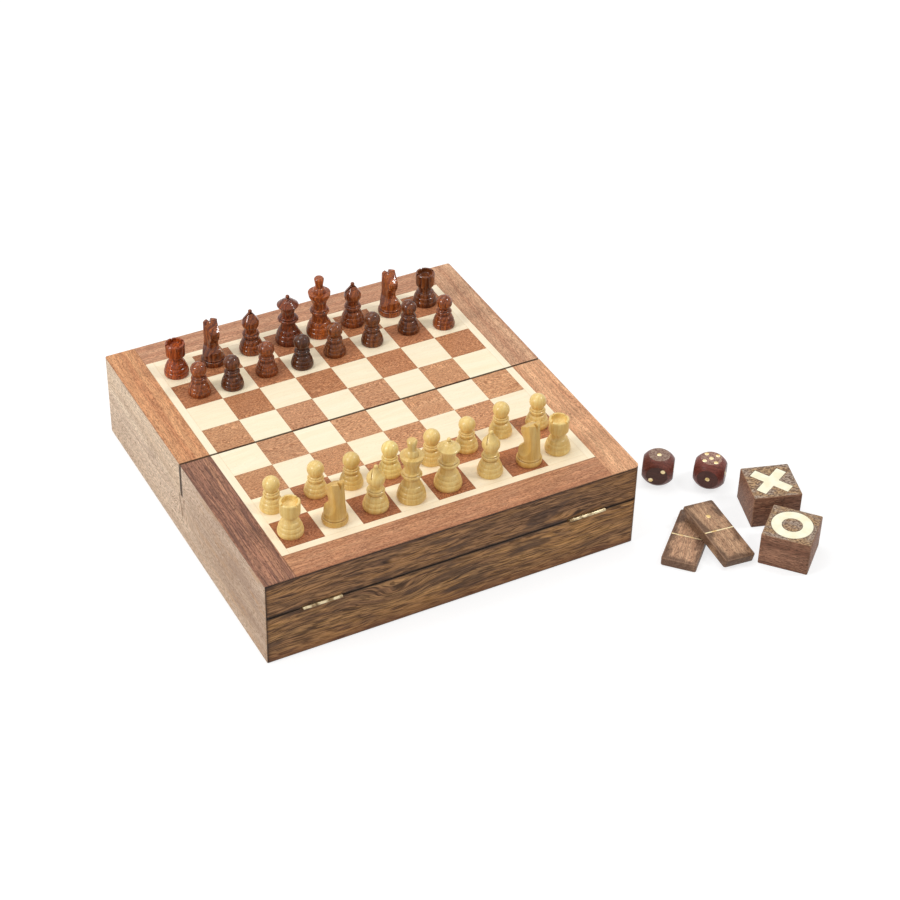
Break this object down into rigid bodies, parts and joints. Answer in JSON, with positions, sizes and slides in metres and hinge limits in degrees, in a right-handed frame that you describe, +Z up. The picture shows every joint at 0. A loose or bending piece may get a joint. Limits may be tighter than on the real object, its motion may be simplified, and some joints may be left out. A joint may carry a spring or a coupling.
{
  "type": "games compendium box",
  "caption": "Square wooden games box with a hinged two-part chessboard lid, its chessmen on the board and its dice, dominoes and noughts and crosses blocks beside it.",
  "frame": {"origin": "centre of the box's underside, on the table", "axes": "+X to the right along the front edge, towards the loose pieces; +Y from the light men's side to the dark men's side; +Z up"},
  "size_m": [0.3627, 0.328, 0.103],
  "materials": {
    "carcass_sheesham": "oiled, open grain",
    "panel_ply": "sanded, thinly lacquered",
    "edging_veneer": "satin lacquer",
    "maple_veneer": "satin lacquer",
    "walnut_veneer": "satin lacquer, open pores",
    "hinge_brass": "polished, slightly dull",
    "domino_wood": "waxed, dark at the edges",
    "block_wood": "waxed",
    "die_rosewood": "waxed",
    "inlay_brass": "sanded flush with the wood",
    "boxwood": "glossy lacquer",
    "dark_man_wood": "glossy lacquer"
  },
  "bodies": {
    "base": {"base_walls": "carcass_sheesham", "base_floor": "panel_ply", "base_dividers": "panel_ply", "base_hinge_leaves": "hinge_brass", "hinge_pins": "hinge_brass", "stored_dominoes": "domino_wood", "stored_blocks": "block_wood", "stored_block_inlays": "inlay_brass"},
    "front_lid": {"front_lid_walls": "carcass_sheesham", "front_lid_panel": "panel_ply", "front_lid_edging": "edging_veneer", "front_lid_pale_veneer": "maple_veneer", "front_lid_dark_squares": "walnut_veneer", "front_lid_hinge_leaves": "hinge_brass"},
    "back_lid": {"back_lid_walls": "carcass_sheesham", "back_lid_panel": "panel_ply", "back_lid_edging": "edging_veneer", "back_lid_pale_veneer": "maple_veneer", "back_lid_dark_squares": "walnut_veneer", "back_lid_hinge_leaves": "hinge_brass"},
    "left_die": {"left_die": "die_rosewood"},
    "right_die": {"right_die": "die_rosewood"},
    "upper_domino": {"upper_domino": "domino_wood"},
    "lower_domino": {"lower_domino": "domino_wood"},
    "cross_block": {"cross_block": "block_wood", "cross_inlay": "inlay_brass"},
    "nought_block": {"nought_block": "block_wood", "nought_inlay": "inlay_brass"},
    "light_rook_a": {"light_rook_a": "boxwood"},
    "light_knight_b": {"light_knight_b": "boxwood"},
    "light_bishop_c": {"light_bishop_c": "boxwood"},
    "light_king": {"light_king": "boxwood"},
    "light_queen": {"light_queen": "boxwood"},
    "light_bishop_f": {"light_bishop_f": "boxwood"},
    "light_knight_g": {"light_knight_g": "boxwood"},
    "light_rook_h": {"light_rook_h": "boxwood"},
    "light_pawn_a": {"light_pawn_a": "boxwood"},
    "light_pawn_b": {"light_pawn_b": "boxwood"},
    "light_pawn_c": {"light_pawn_c": "boxwood"},
    "light_pawn_d": {"light_pawn_d": "boxwood"},
    "light_pawn_e": {"light_pawn_e": "boxwood"},
    "light_pawn_f": {"light_pawn_f": "boxwood"},
    "light_pawn_g": {"light_pawn_g": "boxwood"},
    "light_pawn_h": {"light_pawn_h": "boxwood"},
    "dark_pawn_a": {"dark_pawn_a": "dark_man_wood"},
    "dark_pawn_b": {"dark_pawn_b": "dark_man_wood"},
    "dark_pawn_c": {"dark_pawn_c": "dark_man_wood"},
    "dark_pawn_d": {"dark_pawn_d": "dark_man_wood"},
    "dark_pawn_e": {"dark_pawn_e": "dark_man_wood"},
    "dark_pawn_f": {"dark_pawn_f": "dark_man_wood"},
    "dark_pawn_g": {"dark_pawn_g": "dark_man_wood"},
    "dark_pawn_h": {"dark_pawn_h": "dark_man_wood"},
    "dark_rook_a": {"dark_rook_a": "dark_man_wood"},
    "dark_knight_b": {"dark_knight_b": "dark_man_wood"},
    "dark_bishop_c": {"dark_bishop_c": "dark_man_wood"},
    "dark_queen": {"dark_queen": "dark_man_wood"},
    "dark_king": {"dark_king": "dark_man_wood"},
    "dark_bishop_f": {"dark_bishop_f": "dark_man_wood"},
    "dark_knight_g": {"dark_knight_g": "dark_man_wood"},
    "dark_rook_h": {"dark_rook_h": "dark_man_wood"}
  },
  "joints": [
    {"name": "back_lid_hinge", "type": "hinge", "parent": "base", "child": "back_lid", "pos_m": [0, 0.1256, 0.035], "axis": [-1, 0, 0], "range_deg": [0, 180]},
    {"name": "front_lid_hinge", "type": "hinge", "parent": "base", "child": "front_lid", "pos_m": [0, -0.1256, 0.035], "axis": [1, 0, 0], "range_deg": [0, 180]},
    {"name": "lift_cross_block", "type": "slide", "parent": "base", "child": "cross_block", "axis": [0, 0, 1], "range_m": [0, 0.05]},
    {"name": "lift_nought_block", "type": "slide", "parent": "base", "child": "nought_block", "axis": [0, 0, 1], "range_m": [0, 0.05]},
    {"name": "lift_left_die", "type": "slide", "parent": "base", "child": "left_die", "axis": [0, 0, 1], "range_m": [0, 0.05]},
    {"name": "lift_right_die", "type": "slide", "parent": "base", "child": "right_die", "axis": [0, 0, 1], "range_m": [0, 0.05]},
    {"name": "lift_upper_domino", "type": "slide", "parent": "base", "child": "upper_domino", "axis": [0, 0, 1], "range_m": [0, 0.05]},
    {"name": "slide_lower_domino", "type": "slide", "parent": "base", "child": "lower_domino", "axis": [-0.7254, -0.6884, 0], "range_m": [0, 0.06]},
    {"name": "lift_light_rook_a", "type": "slide", "parent": "front_lid", "child": "light_rook_a", "axis": [0, 0, 1], "range_m": [0, 0.05]},
    {"name": "lift_light_knight_b", "type": "slide", "parent": "front_lid", "child": "light_knight_b", "axis": [0, 0, 1], "range_m": [0, 0.05]},
    {"name": "lift_light_bishop_c", "type": "slide", "parent": "front_lid", "child": "light_bishop_c", "axis": [0, 0, 1], "range_m": [0, 0.05]},
    {"name": "lift_light_king", "type": "slide", "parent": "front_lid", "child": "light_king", "axis": [0, 0, 1], "range_m": [0, 0.05]},
    {"name": "lift_light_queen", "type": "slide", "parent": "front_lid", "child": "light_queen", "axis": [0, 0, 1], "range_m": [0, 0.05]},
    {"name": "lift_light_bishop_f", "type": "slide", "parent": "front_lid", "child": "light_bishop_f", "axis": [0, 0, 1], "range_m": [0, 0.05]},
    {"name": "lift_light_knight_g", "type": "slide", "parent": "front_lid", "child": "light_knight_g", "axis": [0, 0, 1], "range_m": [0, 0.05]},
    {"name": "lift_light_rook_h", "type": "slide", "parent": "front_lid", "child": "light_rook_h", "axis": [0, 0, 1], "range_m": [0, 0.05]},
    {"name": "lift_light_pawn_a", "type": "slide", "parent": "front_lid", "child": "light_pawn_a", "axis": [0, 0, 1], "range_m": [0, 0.05]},
    {"name": "lift_light_pawn_b", "type": "slide", "parent": "front_lid", "child": "light_pawn_b", "axis": [0, 0, 1], "range_m": [0, 0.05]},
    {"name": "lift_light_pawn_c", "type": "slide", "parent": "front_lid", "child": "light_pawn_c", "axis": [0, 0, 1], "range_m": [0, 0.05]},
    {"name": "lift_light_pawn_d", "type": "slide", "parent": "front_lid", "child": "light_pawn_d", "axis": [0, 0, 1], "range_m": [0, 0.05]},
    {"name": "lift_light_pawn_e", "type": "slide", "parent": "front_lid", "child": "light_pawn_e", "axis": [0, 0, 1], "range_m": [0, 0.05]},
    {"name": "lift_light_pawn_f", "type": "slide", "parent": "front_lid", "child": "light_pawn_f", "axis": [0, 0, 1], "range_m": [0, 0.05]},
    {"name": "lift_light_pawn_g", "type": "slide", "parent": "front_lid", "child": "light_pawn_g", "axis": [0, 0, 1], "range_m": [0, 0.05]},
    {"name": "lift_light_pawn_h", "type": "slide", "parent": "front_lid", "child": "light_pawn_h", "axis": [0, 0, 1], "range_m": [0, 0.05]},
    {"name": "lift_dark_pawn_a", "type": "slide", "parent": "back_lid", "child": "dark_pawn_a", "axis": [0, 0, 1], "range_m": [0, 0.05]},
    {"name": "lift_dark_pawn_b", "type": "slide", "parent": "back_lid", "child": "dark_pawn_b", "axis": [0, 0, 1], "range_m": [0, 0.05]},
    {"name": "lift_dark_pawn_c", "type": "slide", "parent": "back_lid", "child": "dark_pawn_c", "axis": [0, 0, 1], "range_m": [0, 0.05]},
    {"name": "lift_dark_pawn_d", "type": "slide", "parent": "back_lid", "child": "dark_pawn_d", "axis": [0, 0, 1], "range_m": [0, 0.05]},
    {"name": "lift_dark_pawn_e", "type": "slide", "parent": "back_lid", "child": "dark_pawn_e", "axis": [0, 0, 1], "range_m": [0, 0.05]},
    {"name": "lift_dark_pawn_f", "type": "slide", "parent": "back_lid", "child": "dark_pawn_f", "axis": [0, 0, 1], "range_m": [0, 0.05]},
    {"name": "lift_dark_pawn_g", "type": "slide", "parent": "back_lid", "child": "dark_pawn_g", "axis": [0, 0, 1], "range_m": [0, 0.05]},
    {"name": "lift_dark_pawn_h", "type": "slide", "parent": "back_lid", "child": "dark_pawn_h", "axis": [0, 0, 1], "range_m": [0, 0.05]},
    {"name": "lift_dark_rook_a", "type": "slide", "parent": "back_lid", "child": "dark_rook_a", "axis": [0, 0, 1], "range_m": [0, 0.05]},
    {"name": "lift_dark_knight_b", "type": "slide", "parent": "back_lid", "child": "dark_knight_b", "axis": [0, 0, 1], "range_m": [0, 0.05]},
    {"name": "lift_dark_bishop_c", "type": "slide", "parent": "back_lid", "child": "dark_bishop_c", "axis": [0, 0, 1], "range_m": [0, 0.05]},
    {"name": "lift_dark_queen", "type": "slide", "parent": "back_lid", "child": "dark_queen", "axis": [0, 0, 1], "range_m": [0, 0.05]},
    {"name": "lift_dark_king", "type": "slide", "parent": "back_lid", "child": "dark_king", "axis": [0, 0, 1], "range_m": [0, 0.05]},
    {"name": "lift_dark_bishop_f", "type": "slide", "parent": "back_lid", "child": "dark_bishop_f", "axis": [0, 0, 1], "range_m": [0, 0.05]},
    {"name": "lift_dark_knight_g", "type": "slide", "parent": "back_lid", "child": "dark_knight_g", "axis": [0, 0, 1], "range_m": [0, 0.05]},
    {"name": "lift_dark_rook_h", "type": "slide", "parent": "back_lid", "child": "dark_rook_h", "axis": [0, 0, 1], "range_m": [0, 0.05]}
  ]
}
